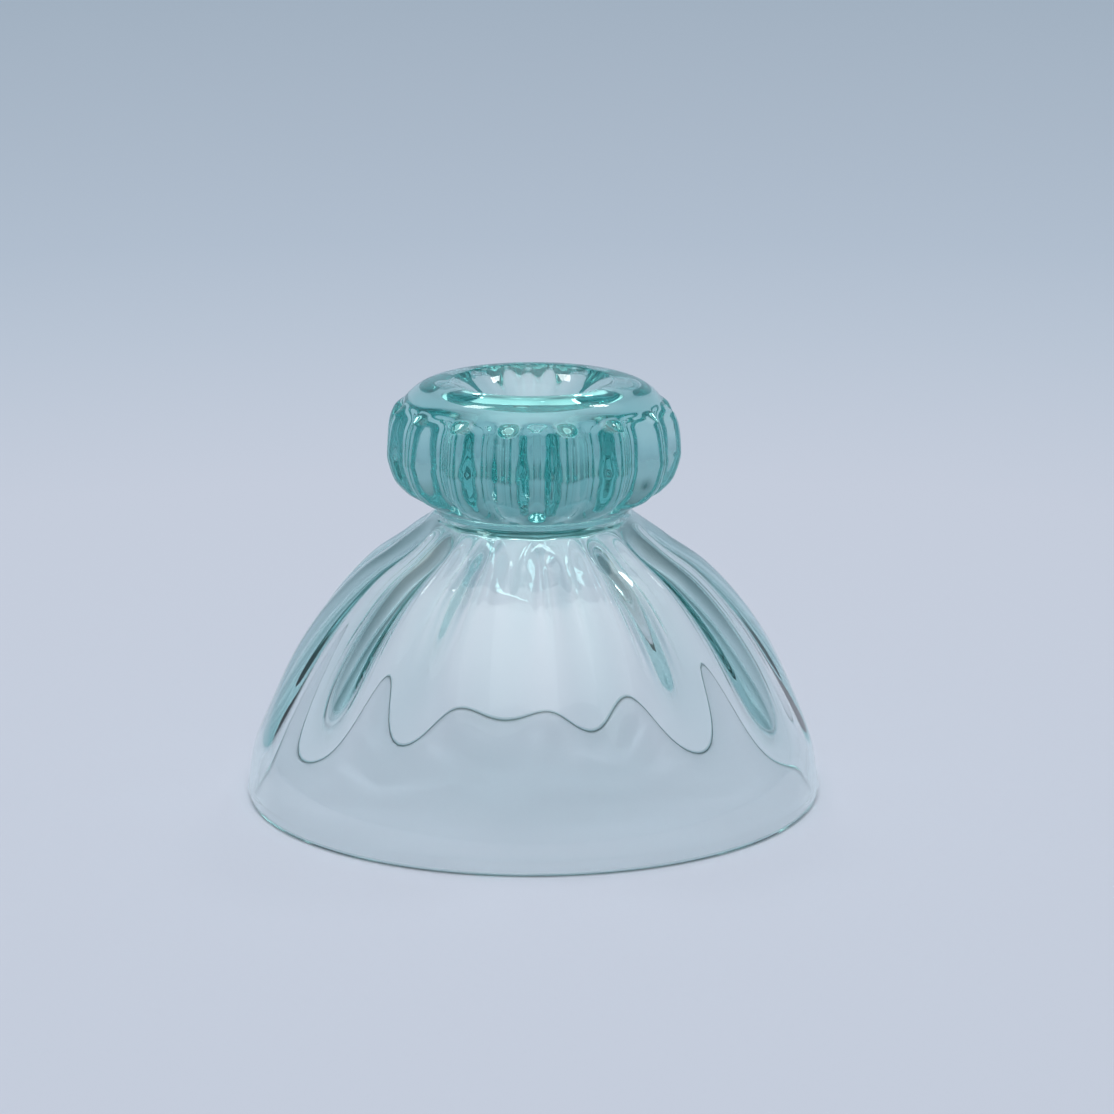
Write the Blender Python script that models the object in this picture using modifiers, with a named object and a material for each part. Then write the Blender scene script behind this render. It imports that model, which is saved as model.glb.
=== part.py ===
"""Hand-blown glass bell with a lobed ring crown.

Three gathers of aqua glass, fused hot, one above another on one upright axis:
    bell_shell      the thin blown bell, with soft optic ribs that fade out above its rim
    neck_wafer      the small disc of glass that joins the crown to the bell
    crown_ring      the heavy lobed ring, solid glass with a deep dimple in its top
Metres, +Z up, origin on the axis in the plane that the rim stands on.
"""

import math

import bmesh
import bpy
from mathutils import Vector

# Driving dimensions
RIM_RADIUS = 0.0697
BELL_TOP = 0.0693
CROWN_TOP = 0.1015
NECK_RADIUS = 0.0234
WAFER_THICKNESS = 0.0016
SEAM_GAP = 0.0003

# The bell's wall, and the narrow flat ring that its rim stands on
WALL_AT_RIM = 0.0020
WALL_AT_SHOULDER = 0.0042
CEILING_DIP = 0.0004
RIM_FLAT_WIDTH = 0.0008
RIM_ROUND_HEIGHT = 0.0009
RIM_ROUND_INSET = 0.00015

# The bell's outer side from the rim up: height, and radius as a share of the rim's
SHOULDER_RADIUS = 0.0236
BELL_FLANK = (
    (0.0030, 1.000),
    (0.0130, 0.972),
    (0.0256, 0.893),
    (0.0372, 0.804),
    (0.0472, 0.704),
    (0.0560, 0.585),
    (0.0625, 0.455),
    (BELL_TOP, SHOULDER_RADIUS / RIM_RADIUS),
)

# Ribs from the optic mould: none at the rim, full depth high on the bell, smooth again at its top
BELL_RIBS = 14
BELL_RIB_DEPTH = 0.0010
BELL_FIRST_CREST = math.radians(-97.6)
RIBS_BEGIN = 0.010
RIBS_FULL = 0.030
RIBS_FADE = 0.006

# The crown's flank from its crest down to its foot: radius, and depth below the crest
CROWN_BOTTOM = BELL_TOP + WAFER_THICKNESS + 2 * SEAM_GAP
CROWN_FOOT_RADIUS = 0.0242
CROWN_FLANK = (
    (0.0206, 0.0000),
    (0.0240, 0.0003),
    (0.0276, 0.0016),
    (0.0306, 0.0042),
    (0.0328, 0.0080),
    (0.0337, 0.0110),
    (0.0341, 0.0155),
    (0.0339, 0.0183),
    (0.0323, 0.0228),
    (0.0296, 0.0259),
    (0.0264, 0.0286),
    (CROWN_FOOT_RADIUS, CROWN_TOP - CROWN_BOTTOM),
)

# The crown's dimple from its floor up to the crest, measured the same way
DIMPLE_DEPTH = 0.0108
DIMPLE_SIDE = (
    (0.0050, 0.0102),
    (0.0090, 0.0082),
    (0.0115, 0.0056),
    (0.0135, 0.0036),
    (0.0160, 0.0018),
    (0.0180, 0.0005),
    (0.0190, 0.0000),
)

# Lobes pinched into the crown's flank: none on its crest or at its neck
CROWN_LOBES = 16
CROWN_LOBE_DEPTH = 0.0015
CROWN_FIRST_CREST = math.radians(-76.25)
LOBES_BELOW_TOP = 0.0035
LOBES_FADE_AT_TOP = 0.0040
LOBES_FADE_AT_NECK = 0.0040

# Fineness of the facets
STEPS_PER_RIB = 6
WAFER_STEPS = 48
CURVE_STEPS = 2
SHARP_EDGE = math.radians(50)
MERGE = 0.00001

AQUA = (0.42, 0.74, 0.72, 1.0)
GLASS_IOR = 1.52


def clear_scene():
    for obj in list(bpy.data.objects):
        bpy.data.objects.remove(obj)


def spline_through(points):
    """A smooth curve through the points (Catmull-Rom)."""
    ends = [points[0] * 2 - points[1], *points, points[-1] * 2 - points[-2]]
    curve = []
    for a, b, c, d in zip(ends, ends[1:], ends[2:], ends[3:]):
        for step in range(CURVE_STEPS):
            t = step / CURVE_STEPS
            bend = (2 * a - 5 * b + 4 * c - d) * t**2 + (3 * b - a - 3 * c + d) * t**3
            curve.append(b + 0.5 * ((c - a) * t + bend))
    return [*curve, points[-1].copy()]


def share_of(value, start, length):
    """How far value is from start, in lengths, held between 0 and 1."""
    return min(max((value - start) / length, 0.0), 1.0)


def turned_mesh(name, profile, steps):
    """The profile, radius and height from top to bottom, turned about the axis into a closed mesh."""
    outline = bpy.data.meshes.new(name + "_outline")
    corners = [(point.x, 0.0, point.y) for point in profile]
    outline.from_pydata(corners, [(i, i + 1) for i in range(len(corners) - 1)], [])
    turned = bpy.data.objects.new(name + "_outline", outline)
    bpy.context.scene.collection.objects.link(turned)
    screw = turned.modifiers.new("Turn", "SCREW")
    screw.steps = steps
    screw.render_steps = steps
    screw.use_merge_vertices = True
    screw.merge_threshold = MERGE
    depsgraph = bpy.context.evaluated_depsgraph_get()
    solid = bpy.data.meshes.new_from_object(turned.evaluated_get(depsgraph))
    solid.name = name
    bpy.data.objects.remove(turned)
    bpy.data.meshes.remove(outline)
    return solid


def pull_ribs(mesh, count, first_crest, depth_at):
    """Moves the points that face away from the axis in and out, in count waves, depth_at(height) deep."""
    normals = [vertex.normal.copy() for vertex in mesh.vertices]
    for vertex, normal in zip(mesh.vertices, normals):
        from_axis = Vector((vertex.co.x, vertex.co.y, 0.0))
        if from_axis.length < MERGE or normal.dot(from_axis) <= 0.0:
            continue
        wave = math.cos(count * (math.atan2(from_axis.y, from_axis.x) - first_crest))
        vertex.co += from_axis.normalized() * depth_at(vertex.co.z) * wave


def aqua_glass():
    material = bpy.data.materials.new("aqua_glass")
    material.use_nodes = True
    shader = material.node_tree.nodes["Principled BSDF"]
    shader.inputs["Base Color"].default_value = AQUA
    shader.inputs["Roughness"].default_value = 0.02
    shader.inputs["Metallic"].default_value = 0.0
    shader.inputs["IOR"].default_value = GLASS_IOR
    shader.inputs["Transmission Weight"].default_value = 1.0
    return material


def place(mesh, material, collection):
    body = bmesh.new()
    body.from_mesh(mesh)
    bmesh.ops.triangulate(body, faces=body.faces)
    body.to_mesh(mesh)
    body.free()
    mesh.shade_smooth()
    mesh.set_sharp_from_angle(angle=SHARP_EDGE)
    mesh.materials.clear()
    mesh.materials.append(material)
    obj = bpy.data.objects.new(mesh.name, mesh)
    collection.objects.link(obj)
    return obj


def wall_at(height):
    return WALL_AT_RIM + (WALL_AT_SHOULDER - WALL_AT_RIM) * share_of(height, 0.0, BELL_TOP) ** 2


def inner_wall(flank):
    """Each point of the outer side, moved in by the wall's thickness there, square to the side."""
    inside = []
    for below, point, above in zip([flank[0], *flank], flank, [*flank[1:], flank[-1]]):
        along = (above - below).normalized()
        inside.append(point + Vector((-along.y, along.x)) * wall_at(point.y))
    return inside


def bell_profile():
    flank = spline_through([Vector((RIM_RADIUS * share, height)) for height, share in BELL_FLANK])
    inside = inner_wall(flank)
    ceiling = inside.pop().y - CEILING_DIP
    rim_middle = RIM_RADIUS - WALL_AT_RIM / 2
    return [
        Vector((0.0, BELL_TOP)),
        *reversed(flank),
        Vector((RIM_RADIUS - RIM_ROUND_INSET, RIM_ROUND_HEIGHT)),
        Vector((rim_middle + RIM_FLAT_WIDTH / 2, 0.0)),
        Vector((rim_middle - RIM_FLAT_WIDTH / 2, 0.0)),
        Vector((RIM_RADIUS - WALL_AT_RIM + RIM_ROUND_INSET, RIM_ROUND_HEIGHT)),
        *inside,
        Vector((0.0, ceiling)),
    ]


def bell_rib_depth(height):
    rise = share_of(height, RIBS_BEGIN, RIBS_FULL - RIBS_BEGIN)
    fade = share_of(BELL_TOP - height, 0.0, RIBS_FADE)
    return BELL_RIB_DEPTH * rise * fade


def make_bell(material, collection):
    mesh = turned_mesh("bell_shell", bell_profile(), BELL_RIBS * STEPS_PER_RIB)
    pull_ribs(mesh, BELL_RIBS, BELL_FIRST_CREST, bell_rib_depth)
    return place(mesh, material, collection)


def make_wafer(material, collection):
    """A disc of glass with a round edge, a seam's width above the bell."""
    low = BELL_TOP + SEAM_GAP
    edge_radius = WAFER_THICKNESS / 2
    edge = []
    for angle in range(90, -91, -30):
        turn = math.radians(angle)
        radius = NECK_RADIUS - edge_radius + edge_radius * math.cos(turn)
        edge.append(Vector((radius, low + edge_radius + edge_radius * math.sin(turn))))
    profile = [Vector((0.0, low + WAFER_THICKNESS)), *edge, Vector((0.0, low))]
    return place(turned_mesh("neck_wafer", profile, WAFER_STEPS), material, collection)


def below_crest(points):
    return [Vector((radius, CROWN_TOP - depth)) for radius, depth in points]


def crown_profile():
    """Dimple floor, up the dimple to the crest, over the shoulder and down the flank to the neck."""
    return [
        Vector((0.0, CROWN_TOP - DIMPLE_DEPTH)),
        *spline_through(below_crest(DIMPLE_SIDE)),
        *spline_through(below_crest(CROWN_FLANK)),
        Vector((0.0, CROWN_BOTTOM)),
    ]


def crown_lobe_depth(height):
    at_top = share_of(CROWN_TOP - height, LOBES_BELOW_TOP, LOBES_FADE_AT_TOP)
    at_neck = share_of(height, CROWN_BOTTOM, LOBES_FADE_AT_NECK)
    return CROWN_LOBE_DEPTH * at_top * at_neck


def make_crown(material, collection):
    mesh = turned_mesh("crown_ring", crown_profile(), CROWN_LOBES * STEPS_PER_RIB)
    pull_ribs(mesh, CROWN_LOBES, CROWN_FIRST_CREST, crown_lobe_depth)
    return place(mesh, material, collection)


def main():
    clear_scene()
    collection = bpy.data.collections.new("glass_bell_with_ring_crown")
    bpy.context.scene.collection.children.link(collection)
    glass = aqua_glass()
    make_bell(glass, collection)
    make_wafer(glass, collection)
    make_crown(glass, collection)


main()
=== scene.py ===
# %% [markdown]
# # A hand-blown glass bell with a lobed ring crown
# Three gathers of aqua glass stand on one upright axis: a thin bell with soft ribs, a small disc
# that joins, and a heavy ring with lobes round its side and a dimple in its top.
# Each is turned about the axis like a pot on a wheel, then its ribs are pressed in.
# Lengths are in metres unless a comment says otherwise, and the main ones come from the boxes of the
# measured parts.

# %% The frame
import math

import bmesh
import bpy
import numpy as np
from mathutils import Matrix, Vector


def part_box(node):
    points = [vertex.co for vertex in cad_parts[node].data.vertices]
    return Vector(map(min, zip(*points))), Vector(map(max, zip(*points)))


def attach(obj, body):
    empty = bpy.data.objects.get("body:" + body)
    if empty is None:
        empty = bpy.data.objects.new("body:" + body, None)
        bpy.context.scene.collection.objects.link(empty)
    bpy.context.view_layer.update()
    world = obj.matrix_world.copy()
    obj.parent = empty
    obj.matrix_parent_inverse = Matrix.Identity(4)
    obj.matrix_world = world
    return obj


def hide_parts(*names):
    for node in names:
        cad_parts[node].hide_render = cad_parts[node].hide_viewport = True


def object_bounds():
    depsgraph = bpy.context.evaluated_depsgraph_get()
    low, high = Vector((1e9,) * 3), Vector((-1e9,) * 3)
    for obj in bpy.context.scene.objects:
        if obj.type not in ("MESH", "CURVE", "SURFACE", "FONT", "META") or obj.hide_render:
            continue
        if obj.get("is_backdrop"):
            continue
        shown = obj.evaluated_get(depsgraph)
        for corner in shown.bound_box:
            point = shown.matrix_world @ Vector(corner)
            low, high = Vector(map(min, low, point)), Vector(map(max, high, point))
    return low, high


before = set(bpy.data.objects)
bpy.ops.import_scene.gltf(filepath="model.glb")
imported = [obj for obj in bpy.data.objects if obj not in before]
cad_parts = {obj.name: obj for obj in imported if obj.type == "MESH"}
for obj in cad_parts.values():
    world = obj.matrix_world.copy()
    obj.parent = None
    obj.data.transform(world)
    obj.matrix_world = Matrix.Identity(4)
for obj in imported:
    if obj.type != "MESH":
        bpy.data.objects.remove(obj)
cad_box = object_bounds()
bell_low, bell_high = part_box("bell_shell")
crown_low, crown_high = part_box("crown_ring")
rim_radius = (bell_high.x - bell_low.x) / 2
bell_top = bell_high.z
crown_top = crown_high.z
print(f"rim radius {rim_radius:.4f}, bell top {bell_top:.4f}, crown {crown_low.z:.4f} to {crown_top:.4f}")

# %% [markdown]
# ## Curves and meshes
# A turned piece is drawn as half of its cut face: a line of points, each with a radius and a height.
# A few points and a smooth curve through them are easier to change than hundreds of points.

# %% A smooth line of evenly spaced points
STEPS_PER_SPAN = 24


def smooth_line(points, count):
    """count points evenly along a smooth curve through the points (Catmull-Rom)."""
    knots = np.array(points, dtype=float)
    knots = np.vstack([2 * knots[0] - knots[1], knots, 2 * knots[-1] - knots[-2]])
    fine = []
    for a, b, c, d in zip(knots, knots[1:], knots[2:], knots[3:]):
        for t in np.arange(0.0, 1.0, 1 / STEPS_PER_SPAN):
            bend = (2 * a - 5 * b + 4 * c - d) * t**2 + (3 * b - a - 3 * c + d) * t**3
            fine.append(b + 0.5 * ((c - a) * t + bend))
    fine = np.array([*fine, knots[-2]])
    along = np.concatenate([[0.0], np.cumsum(np.linalg.norm(np.diff(fine, axis=0), axis=1))])
    places = np.linspace(0.0, along[-1], count)
    return np.column_stack([np.interp(places, along, fine[:, i]) for i in (0, 1)])


def ease(value):
    """0 up to 0, 1 from 1, and a smooth step between."""
    held = np.clip(value, 0.0, 1.0)
    return held * held * (3 - 2 * held)


# %% Helpers for nodes and colour ramps
def add_node(tree, kind, inputs=None, **settings):
    """A new node with its settings. An input takes a value or another node's output."""
    node = tree.nodes.new(kind)
    for name, value in settings.items():
        setattr(node, name, value)
    for socket, value in (inputs or {}).items():
        if isinstance(value, bpy.types.NodeSocket):
            tree.links.new(value, node.inputs[socket])
        else:
            node.inputs[socket].default_value = value
    return node


def fill_ramp(ramp, stops):
    """Gives a colour ramp these stops. Each is added at its own place, as a ramp never sorts them later."""
    held = ramp.color_ramp.elements
    while len(held) > 1:
        held.remove(held[-1])
    held[0].position = stops[0][0]
    for place, colour in stops[1:]:
        held.new(place).color = colour
    held[0].color = stops[0][1]


# %% [markdown]
# ## The wheel: one tree that turns an outline and presses ribs into it
# Glass of this kind is blown into a mould with upright grooves, then blown on in the open, so its
# ribs are even waves that are strongest at mid height and melt away at the rim.
# The Screw modifier can turn an outline, but can't press ribs. Here a grid is wrapped round the axis:
# one side of the grid counts the steps of the turn, the other follows the outline, and a cosine of
# the angle moves each point in or out. A hand-made piece isn't perfect, so the ribs lean a little
# to one side, some are weaker, and a slow noise lets the whole wall waver.

# %% The tree's named inputs
MERGE = 1e-6
PULL = "rib_pull"
INPUTS = (
    ("Outline", "NodeSocketGeometry"),
    ("Turn Steps", "NodeSocketInt"),
    ("Ribs", "NodeSocketInt"),
    ("First Crest", "NodeSocketFloat"),
    ("Crest Sharpness", "NodeSocketFloat"),
    ("Pairing", "NodeSocketFloat"),
    ("Drift", "NodeSocketFloat"),
    ("Drift Angle", "NodeSocketFloat"),
    ("Weak Share", "NodeSocketFloat"),
    ("Weak Angle", "NodeSocketFloat"),
    ("Weak Narrowness", "NodeSocketFloat"),
    ("Unevenness", "NodeSocketFloat"),
    ("Waver", "NodeSocketFloat"),
    ("Waver Size", "NodeSocketFloat"),
    ("Seed", "NodeSocketFloat"),
    ("Glass", "NodeSocketMaterial"),
)


def maths(tree, operation, *values):
    """The output of one sum."""
    return add_node(tree, "ShaderNodeMath", dict(enumerate(values)), operation=operation).outputs[0]


# %% Build the tree
UNEVEN_SCALE = 1.6
WAVER_SEED_STEP = 7.0
WAVER_FULL_RADIUS = 0.010


def wheel_tree():
    tree = bpy.data.node_groups.new("turned_and_ribbed", "GeometryNodeTree")
    for name, kind in INPUTS:
        tree.interface.new_socket(name, in_out="INPUT", socket_type=kind)
    tree.interface.new_socket("Turned", in_out="OUTPUT", socket_type="NodeSocketGeometry")
    given = add_node(tree, "NodeGroupInput").outputs
    outline = given["Outline"]

    # One grid row for each point of the outline, one column for each step of the turn
    size = add_node(tree, "GeometryNodeAttributeDomainSize", {"Geometry": outline}, component="MESH")
    count = size.outputs["Point Count"]
    columns = maths(tree, "ADD", given["Turn Steps"], 1.0)
    grid = add_node(tree, "GeometryNodeMeshGrid", {"Vertices X": columns, "Vertices Y": count})
    index = add_node(tree, "GeometryNodeInputIndex").outputs[0]
    row = maths(tree, "MODULO", index, count)
    column = maths(tree, "FLOOR", maths(tree, "DIVIDE", maths(tree, "ADD", index, 0.5), count))
    angle = maths(tree, "MULTIPLY", maths(tree, "DIVIDE", column, given["Turn Steps"]), math.tau)

    # The outline's place and pull at this row
    place = add_node(
        tree,
        "GeometryNodeSampleIndex",
        {"Geometry": outline, "Value": add_node(tree, "GeometryNodeInputPosition").outputs[0], "Index": row},
        data_type="FLOAT_VECTOR",
    )
    place = add_node(tree, "ShaderNodeSeparateXYZ", {0: place.outputs[0]})
    named = add_node(tree, "GeometryNodeInputNamedAttribute", {"Name": PULL}, data_type="FLOAT")
    pull = add_node(
        tree,
        "GeometryNodeSampleIndex",
        {"Geometry": outline, "Value": named.outputs["Attribute"], "Index": row},
        data_type="FLOAT",
    ).outputs[0]

    # The wave: its crests drift to one side, and sharpen as the power goes above 1
    lean = maths(tree, "SUBTRACT", angle, given["Drift Angle"])
    lean = maths(tree, "COSINE", maths(tree, "MULTIPLY", lean, 2.0))
    turn = maths(tree, "SUBTRACT", angle, given["First Crest"])
    turn = maths(tree, "SUBTRACT", turn, maths(tree, "MULTIPLY", lean, given["Drift"]))
    wave = maths(tree, "COSINE", maths(tree, "MULTIPLY", turn, given["Ribs"]))
    share = maths(tree, "MULTIPLY_ADD", wave, 0.5, 0.5)
    wave = maths(tree, "MULTIPLY_ADD", maths(tree, "POWER", share, given["Crest Sharpness"]), 2.0, -1.0)
    slow = maths(tree, "MULTIPLY", maths(tree, "MULTIPLY", turn, given["Ribs"]), 0.5)
    wave = maths(tree, "MULTIPLY_ADD", maths(tree, "SINE", slow), given["Pairing"], wave)

    # Weaker round one angle, and a little uneven all round
    near = maths(tree, "COSINE", maths(tree, "SUBTRACT", angle, given["Weak Angle"]))
    near = maths(tree, "POWER", maths(tree, "MULTIPLY_ADD", near, 0.5, 0.5), given["Weak Narrowness"])
    strength = maths(tree, "SUBTRACT", 1.0, maths(tree, "MULTIPLY", near, given["Weak Share"]))
    sine, cosine = maths(tree, "SINE", angle), maths(tree, "COSINE", angle)
    round_axis = add_node(tree, "ShaderNodeCombineXYZ", {0: cosine, 1: sine})
    uneven = add_node(
        tree,
        "ShaderNodeTexNoise",
        {"Vector": round_axis.outputs[0], "W": given["Seed"], "Scale": UNEVEN_SCALE, "Detail": 0.0},
        noise_dimensions="4D",
    )
    uneven = maths(tree, "SUBTRACT", uneven.outputs[0], 0.5)
    strength = maths(tree, "MULTIPLY_ADD", uneven, given["Unevenness"], strength)
    press = maths(tree, "MULTIPLY", maths(tree, "MULTIPLY", wave, strength), pull)

    # The slow waver of a wall blown by hand, which fades out towards the axis
    radius = maths(tree, "ADD", place.outputs[0], press)
    x, y = maths(tree, "MULTIPLY", radius, cosine), maths(tree, "MULTIPLY", radius, sine)
    at = add_node(tree, "ShaderNodeCombineXYZ", {0: x, 1: y, 2: place.outputs[2]}).outputs[0]
    waver = add_node(
        tree,
        "ShaderNodeTexNoise",
        {
            "Vector": at,
            "W": maths(tree, "ADD", given["Seed"], WAVER_SEED_STEP),
            "Scale": maths(tree, "DIVIDE", 1.0, given["Waver Size"]),
            "Detail": 0.0,
        },
        noise_dimensions="4D",
    )
    waver = maths(tree, "MULTIPLY", maths(tree, "SUBTRACT", waver.outputs[0], 0.5), given["Waver"])
    out = maths(tree, "MULTIPLY", place.outputs[0], 1 / WAVER_FULL_RADIUS)
    waver = maths(tree, "MULTIPLY", waver, maths(tree, "MINIMUM", out, 1.0))
    moved = {0: round_axis.outputs[0], "Scale": waver}
    moved = add_node(tree, "ShaderNodeVectorMath", moved, operation="SCALE")
    at = add_node(tree, "ShaderNodeVectorMath", {0: at, 1: moved.outputs[0]}, operation="ADD").outputs[0]

    # Wrap the grid, close its seam and its poles, and give it its glass
    wrapped = add_node(tree, "GeometryNodeSetPosition", {"Geometry": grid.outputs["Mesh"], "Position": at})
    closed = add_node(tree, "GeometryNodeMergeByDistance", {0: wrapped.outputs[0], "Distance": MERGE})
    smooth = add_node(tree, "GeometryNodeSetShadeSmooth", {0: closed.outputs[0]})
    real = add_node(tree, "GeometryNodeRealizeInstances", {0: smooth.outputs[0]})
    glassy = add_node(tree, "GeometryNodeSetMaterial", {0: real.outputs[0], "Material": given["Glass"]})
    add_node(tree, "NodeGroupOutput", {0: glassy.outputs[0]})
    return tree


wheel = wheel_tree()
print(f"wheel tree: {len(wheel.nodes)} nodes, {len(INPUTS)} inputs")

# %% [markdown]
# ## The glass
# Soda-lime glass, tinted aqua by a trace of iron and copper, and fire-polished: it was last touched
# by flame, so its skin is clear and without grain.
# The tint lies in the depth of the glass and not on its skin. So the surface is clear, and an
# absorbing volume takes the red out of light along its way: a thin wall stays nearly clear, and the
# thick ring turns deep aqua.

# %% Colours and the two glasses
GLASS_IOR = 1.52


def linear(hex_colour):
    """An sRGB hex colour as linear red, green, blue and 1."""
    parts = [int(hex_colour[i : i + 2], 16) / 255 for i in (1, 3, 5)]
    return (*[c / 12.92 if c <= 0.04045 else ((c + 0.055) / 1.055) ** 2.4 for c in parts], 1.0)


def aqua_glass(name, tint, density):
    """Clear fire-polished skin over a tinted depth; density is per metre of glass."""
    glass = bpy.data.materials.new(name)
    glass.use_nodes = True
    tree = glass.node_tree
    skin = tree.nodes["Principled BSDF"]
    skin.inputs["Base Color"].default_value = linear("#FFFFFF")
    skin.inputs["Roughness"].default_value = 0.0
    skin.inputs["IOR"].default_value = GLASS_IOR
    skin.inputs["Transmission Weight"].default_value = 1.0
    depth = add_node(tree, "ShaderNodeVolumeAbsorption", {"Color": linear(tint), "Density": density})
    tree.links.new(depth.outputs[0], tree.nodes["Material Output"].inputs["Volume"])
    return glass


# Soda-lime glass, blown thin: almost clear face on, aqua where the eye looks along the wall
bell_glass = aqua_glass("blown_soda_lime_glass", "#4EDAD6", 28.0)
# The same glass in the solid ring: long ways through it turn deep aqua
crown_glass = aqua_glass("solid_soda_lime_glass", "#4CDEDC", 18.0)
print("glasses:", bell_glass.name, crown_glass.name)

# %% [markdown]
# ## Turning a piece
# The outline becomes a line of mesh points that carry how far the ribs pull each one. The modifier
# turns it, and its result is kept as a plain mesh, with the outline thrown away.

# %% Turn an outline into a piece
def turned_piece(name, outline, pull, slot, node, **sizes):
    """outline runs from the axis to the axis, and pull is each of its points' share of the ribs."""
    line = bpy.data.meshes.new(name)
    corners = [(radius, 0.0, height) for radius, height in outline]
    line.from_pydata(corners, [(i, i + 1) for i in range(len(corners) - 1)], [])
    line.attributes.new(PULL, "FLOAT", "POINT").data.foreach_set("value", np.asarray(pull, dtype=np.float32))
    piece = bpy.data.objects.new(name, line)
    bpy.context.scene.collection.objects.link(piece)
    turn = piece.modifiers.new("Turn", "NODES")
    turn.node_group = wheel
    for socket in wheel.interface.items_tree:
        if socket.in_out == "INPUT" and socket.name in sizes:
            turn[socket.identifier] = sizes[socket.name]
    solid = bpy.data.meshes.new_from_object(piece.evaluated_get(bpy.context.evaluated_depsgraph_get()))
    piece.modifiers.remove(turn)
    piece.data = solid
    bpy.data.meshes.remove(line)
    body = bmesh.new()
    body.from_mesh(solid)
    bmesh.ops.remove_doubles(body, verts=body.verts, dist=MERGE)
    bmesh.ops.recalc_face_normals(body, faces=body.faces)
    body.to_mesh(solid)
    body.free()
    solid.shade_smooth()
    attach(piece, "root")
    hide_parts(node)
    print(f"{name}: {len(solid.polygons)} faces, {piece.dimensions.x * 1000:.1f} mm across")


# %% [markdown]
# ## The bell
# A thin blown shell, about two millimetres thick at the rim and four at the shoulder.
# Its outer side is a smooth line through a few heights and radii, and the inner side is that line
# moved in by the wall. The ribs were pressed into the outside, and show inside at less than half of
# their depth.

# %% The bell's two walls
FLANK_POINTS = 150
WALL_AT_RIM = 0.0020
WALL_AT_SHOULDER = 0.0042
BELL_FLANK = (
    (1.000, 0.043),
    (0.972, 0.188),
    (0.893, 0.369),
    (0.804, 0.537),
    (0.704, 0.681),
    (0.585, 0.808),
    (0.455, 0.902),
    (0.339, 1.000),
)
flank = smooth_line([(rim_radius * r, bell_top * h) for r, h in BELL_FLANK], FLANK_POINTS)
along = np.gradient(flank, axis=0)
along /= np.linalg.norm(along, axis=1)[:, None]
wall = WALL_AT_RIM + (WALL_AT_SHOULDER - WALL_AT_RIM) * (flank[:, 1] / bell_top) ** 2
inside = flank + np.column_stack([-along[:, 1], along[:, 0]]) * wall[:, None]
print(f"bell wall {wall.min() * 1000:.1f} to {wall.max() * 1000:.1f} mm")

# %% The bell's whole outline, from the top of the axis round the rim to the ceiling
RIM_HEIGHT = 0.0022
BEAD_FULLNESS = 0.8
BEAD_STEPS, TOP_STEPS, CEILING_STEPS = 16, 9, 13
bead = np.radians(np.linspace(0, 180, BEAD_STEPS + 1))[1:-1]
rim = np.column_stack(
    [
        rim_radius - WALL_AT_RIM / 2 + WALL_AT_RIM / 2 * np.cos(bead),
        RIM_HEIGHT * (1 - np.sin(bead) ** BEAD_FULLNESS),
    ]
)
top_radii = np.linspace(0.0, flank[-1, 0], TOP_STEPS + 1)[:-1]
top = np.column_stack([top_radii, np.full(TOP_STEPS, bell_top)])
ceiling_radii = np.linspace(inside[-1, 0], 0.0, CEILING_STEPS + 1)[1:]
ceiling = np.column_stack([ceiling_radii, np.full(CEILING_STEPS, inside[-1, 1])])
bell_outline = np.vstack([top, flank[::-1], rim, inside, ceiling])
print(f"bell outline: {len(bell_outline)} points")

# %% How far the ribs pull each point of the bell
RIBS_BEGIN, RIBS_FULL, RIBS_FADE = 0.010, 0.040, 0.006
RIB_DEPTH_OUTSIDE = 0.0012
RIB_DEPTH_INSIDE = 0.0005


def rib_share(heights, highest):
    rise = ease((heights - RIBS_BEGIN) / (RIBS_FULL - RIBS_BEGIN))
    return rise * ease((highest - heights) / RIBS_FADE)


bell_pull = np.concatenate(
    [
        np.zeros(len(top)),
        RIB_DEPTH_OUTSIDE * rib_share(flank[::-1, 1], bell_top),
        np.zeros(len(rim)),
        -RIB_DEPTH_INSIDE * rib_share(inside[:, 1], inside[-1, 1]),
        np.zeros(len(ceiling)),
    ]
)
print(f"ribs {bell_pull.max() * 1000:.2f} mm deep outside, {-bell_pull.min() * 1000:.2f} mm inside")

# %% Turn the bell
FRONT = math.radians(-90)
WAVER = 0.0002
turned_piece(
    "blown_bell",
    bell_outline,
    bell_pull,
    "bell_glass",
    "bell_shell",
    **{
        "Turn Steps": 280,
        "Ribs": 14,
        "First Crest": FRONT + math.radians(-7.6),
        "Crest Sharpness": 1.0,
        "Drift": math.radians(-3.0),
        "Drift Angle": FRONT + math.radians(33),
        "Weak Share": 0.55,
        "Weak Angle": FRONT + math.radians(-8),
        "Weak Narrowness": 24.0,
        "Unevenness": 0.5,
        "Waver": WAVER,
        "Waver Size": 0.030,
        "Seed": 3.0,
        "Glass": bell_glass,
    },
)

# %% [markdown]
# ## The crown
# A heavy ring of solid glass with a funnel-shaped dimple in its top. Sixteen lobes were pinched
# into its side while it was soft. They start just below the shoulder and die away at the neck.
# Each pinch took in two lobes, so they stand in faint pairs, and they are weaker at the back.

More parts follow.
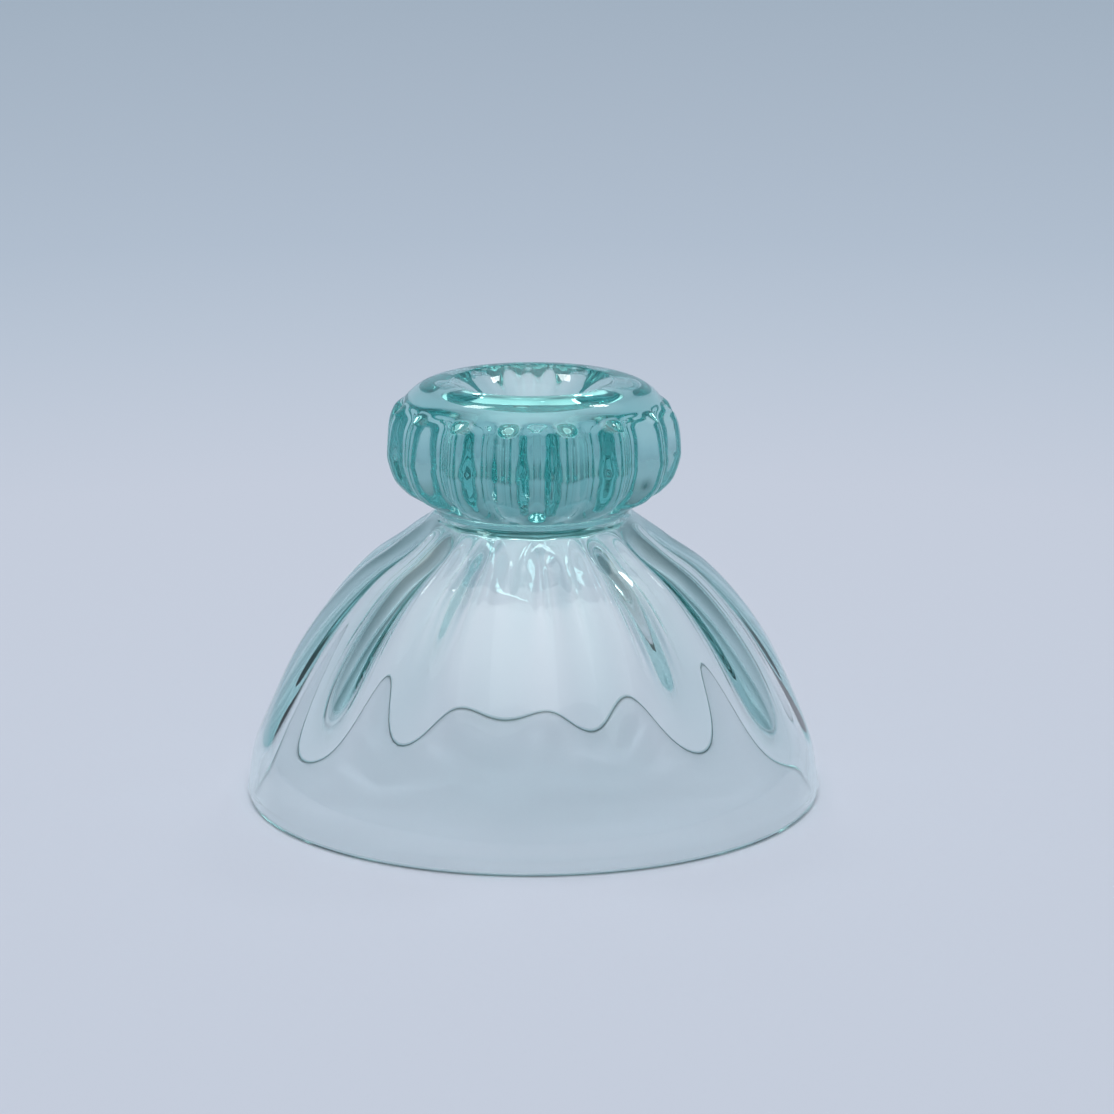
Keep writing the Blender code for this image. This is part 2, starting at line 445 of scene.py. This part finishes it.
# %% The crown's outline, in millimetres: radius, and depth below its top
DIMPLE = ((0, 10.8), (5, 10.2), (9, 8.2), (11.5, 5.6), (13.5, 3.6), (16, 1.8), (18.5, 0.5), (20.0, 0.0))
CROWN_SIDE = (
    (24.0, 0.3),
    (27.6, 1.6),
    (30.6, 4.2),
    (32.8, 8.0),
    (33.7, 11.0),
    (34.1, 15.5),
    (33.9, 18.3),
    (32.3, 22.8),
    (29.6, 25.9),
    (26.4, 28.6),
)
NECK_RADIUS = 24.4
CROWN_POINTS = 210
SEAT_STEPS = 9
neck_depth = (crown_top - crown_low.z) * 1000
crown_line = smooth_line([*DIMPLE, *CROWN_SIDE, (NECK_RADIUS, neck_depth)], CROWN_POINTS)
crown_line = np.column_stack([crown_line[:, 0] / 1000, crown_top - crown_line[:, 1] / 1000])
crown_line[0, 0] = 0.0
crest = int(np.argmax(crown_line[:, 1]))
seat_radii = np.linspace(crown_line[-1, 0], 0.0, SEAT_STEPS + 1)[1:]
seat = np.column_stack([seat_radii, np.full(SEAT_STEPS, crown_low.z)])
crown_outline = np.vstack([crown_line, seat])
print(f"crown outline: {len(crown_outline)} points, dimple {DIMPLE[0][1]} mm deep")

# %% How far the lobes pull each point of the crown
LOBE_DEPTH = 0.0021
LOBES_BELOW_TOP, LOBES_RISE, LOBES_FADE = 0.0042, 0.0030, 0.0040
heights = crown_line[:, 1]
lobes = ease((crown_top - LOBES_BELOW_TOP - heights) / LOBES_RISE)
lobes *= ease((heights - crown_low.z) / LOBES_FADE)
lobes[: crest + 1] = 0.0
crown_pull = np.concatenate([LOBE_DEPTH * lobes, np.zeros(len(seat))])
print(f"lobes {crown_pull.max() * 1000:.2f} mm deep")

# %% Turn the crown
LOBES = 16
turned_piece(
    "ring_crown",
    crown_outline,
    crown_pull,
    "crown_glass",
    "crown_ring",
    **{
        "Turn Steps": 320,
        "Ribs": LOBES,
        "First Crest": FRONT + math.radians(2.5 + 180 / LOBES),
        "Crest Sharpness": 1.0,
        "Pairing": 0.3,
        "Weak Share": 0.65,
        "Weak Angle": -FRONT,
        "Weak Narrowness": 1.0,
        "Unevenness": 0.4,
        "Waver": WAVER,
        "Waver Size": 0.014,
        "Seed": 11.0,
        "Glass": crown_glass,
    },
)

# %% [markdown]
# ## The neck
# A small disc of glass was dropped on the bell's top while both were soft, and the crown was set on
# it. It needs no tree of its own: the same wheel turns it, with no ribs.

# %% Turn the wafer
wafer_low, wafer_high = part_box("neck_wafer")
wafer_radius = (wafer_high.x - wafer_low.x) / 2
edge = np.radians(np.linspace(90, -90, 15))
half = (wafer_high.z - wafer_low.z) / 2
wafer_edge = np.column_stack(
    [wafer_radius - half + half * np.cos(edge), wafer_low.z + half + half * np.sin(edge)]
)
wafer_outline = np.vstack([[0.0, wafer_high.z], wafer_edge, [0.0, wafer_low.z]])
turned_piece(
    "neck_disc",
    wafer_outline,
    np.zeros(len(wafer_outline)),
    "crown_glass",
    "neck_wafer",
    **{
        "Turn Steps": 160,
        "Ribs": 1,
        "Crest Sharpness": 1.0,
        "Weak Narrowness": 1.0,
        "Waver Size": 1.0,
        "Glass": crown_glass,
    },
)

# %% [markdown]
# ## The set
# Clear glass shows only what lies round it, so the set is a pale table with a painted glow, whose colour
# darkens towards the back as painted fall-off of light,
# and a plain surround: pale at the horizon, dim above it, and brighter overhead.
# The dim part draws the dark edges that let the eye read the glass, and a large soft box in front
# lays a faint sheen down the middle of the bell.

# %% The table
FLOOR_RINGS = (0.3, 0.6, 1.0, 1.6, 2.4, 5.0, 12.0)
FLOOR_CORNERS = 96
corners, faces = [(0.0, 0.0, 0.0)], []
for ring, radius in enumerate(FLOOR_RINGS):
    for i in range(FLOOR_CORNERS):
        turn = math.tau * i / FLOOR_CORNERS
        corners.append((radius * math.cos(turn), radius * math.sin(turn), 0.0))
    for i in range(FLOOR_CORNERS):
        j = (i + 1) % FLOOR_CORNERS
        here = 1 + ring * FLOOR_CORNERS
        if ring == 0:
            faces.append((0, here + i, here + j))
        else:
            inner = here - FLOOR_CORNERS
            faces.append((inner + i, here + i, here + j, inner + j))
table_mesh = bpy.data.meshes.new("painted_glow_table")
table_mesh.from_pydata(corners, [], faces)
table = bpy.data.objects.new("painted_glow_table", table_mesh)
bpy.context.scene.collection.objects.link(table)

# A matt pale blue-grey table with a painted glow, which keeps the bell's shadow soft; its colour and its
# glow both darken outwards as painted light fall-off
TABLE_SHADE, TABLE_PAINTED_GLOW = 0.28, 0.30
# Painted fall-off of light: each stop is a radius in metres and the table's colour there, darker further out
TABLE_PAINTED_FALLOFF = ((0.0, "#C7CCD9"), (0.35, "#C7CCD9"), (0.62, "#BEC7D5"), (0.86, "#B8C3D2"), (2.1, "#AEBBCA"))
painted_glow_material = bpy.data.materials.new("table_with_painted_glow")
painted_glow_material.use_nodes = True
tree = painted_glow_material.node_tree
away = add_node(tree, "ShaderNodeTexCoord")
away = add_node(tree, "ShaderNodeVectorMath", {0: away.outputs["Object"]}, operation="LENGTH")
away = maths(tree, "DIVIDE", away.outputs["Value"], TABLE_PAINTED_FALLOFF[-1][0])
# Painted light fall-off: the table's colour, and so its glow, darkens with distance from the centre
tint = add_node(tree, "ShaderNodeValToRGB", {0: away})
fill_ramp(tint, [(radius / TABLE_PAINTED_FALLOFF[-1][0], linear(colour)) for radius, colour in TABLE_PAINTED_FALLOFF])
skin = tree.nodes["Principled BSDF"]
skin.inputs["Roughness"].default_value = 1.0
skin.inputs["Specular IOR Level"].default_value = 0.0
black = (0, 0, 0, 1)
shade = {0: TABLE_SHADE, 6: tint.outputs[0], 7: black}
shade = add_node(tree, "ShaderNodeMix", shade, data_type="RGBA")
tree.links.new(shade.outputs[2], skin.inputs["Base Color"])
# Painted glow: the table itself gives off light, in its colour that darkens outwards
tree.links.new(tint.outputs[0], skin.inputs["Emission Color"])
skin.inputs["Emission Strength"].default_value = TABLE_PAINTED_GLOW
table_mesh.materials.append(painted_glow_material)
table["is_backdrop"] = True
print(f"table {FLOOR_RINGS[-1] * 2:.0f} m across")

# %% The surround
SKY = (
    (0.00, (0.39, 0.47, 0.56)),
    (0.15, (0.39, 0.47, 0.56)),
    (0.30, (0.26, 0.34, 0.40)),
    (0.50, (0.14, 0.21, 0.25)),
    (0.66, (0.14, 0.20, 0.23)),
    (1.00, (2.10, 2.10, 2.10)),
)
world = bpy.data.worlds.new("studio")
bpy.context.scene.world = world
world.use_nodes = True
tree = world.node_tree
way = add_node(tree, "ShaderNodeTexCoord")
rise = add_node(tree, "ShaderNodeSeparateXYZ", {0: way.outputs["Generated"]})
sky = add_node(tree, "ShaderNodeValToRGB", {0: rise.outputs[2]})
fill_ramp(sky, [(height, (*colour, 1.0)) for height, colour in SKY])
tree.links.new(sky.outputs[0], tree.nodes["Background"].inputs["Color"])
tree.nodes["Background"].inputs["Strength"].default_value = 1.0
print(f"surround: {len(SKY)} bands")

# %% Soft boxes: two small ones behind, caught by the crown as glints, and a large faint one in front
AIM = Vector((0.0, 0.0, 0.08))
SOFT_BOXES = (
    ((-0.30, 0.38, 0.90), 0.16, 0.7),
    ((0.35, 0.42, 0.85), 0.12, 0.5),
    ((0.0, -0.42, 1.0), 0.9, 1.4),
)
for i, (place, side, watts) in enumerate(SOFT_BOXES):
    lamp = bpy.data.lights.new(f"soft_box_{i}", "AREA")
    lamp.shape = "SQUARE"
    lamp.size = side
    lamp.energy = watts
    box = bpy.data.objects.new(f"soft_box_{i}", lamp)
    bpy.context.scene.collection.objects.link(box)
    box.location = place
    box.rotation_euler = (AIM - Vector(place)).to_track_quat("-Z", "Y").to_euler()
print(f"{len(SOFT_BOXES)} soft boxes")

# %% [markdown]
# ## The camera
# A long lens a little above the bell, looking down about fourteen degrees.

# %% Camera and view
CAMERA_PLACE = (0.0058, -0.8687, 0.2722)
LOOKS_DOWN = 13.86
LIGHT_BOUNCES = 32
lens = bpy.data.cameras.new("camera")
lens.lens = 119.6
lens.sensor_width = 36.0
camera = bpy.data.objects.new("camera", lens)
bpy.context.scene.collection.objects.link(camera)
camera.location = CAMERA_PLACE
camera.rotation_euler = (math.radians(90 - LOOKS_DOWN), 0.0, 0.0)
bpy.context.scene.camera = camera
bpy.context.scene.view_settings.view_transform = "Standard"
cycles = bpy.context.scene.cycles
cycles.max_bounces = LIGHT_BOUNCES
cycles.transmission_bounces = LIGHT_BOUNCES
cycles.glossy_bounces = LIGHT_BOUNCES
cycles.blur_glossy = 0.0
print("camera", tuple(round(v, 3) for v in camera.location))

# %% Both boxes, the measured part's and the finished piece's, in metres
boxes = {"cad": cad_box, "visual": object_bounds()}
boxes = {name: [list(corner) for corner in box] for name, box in boxes.items()}
print(boxes)
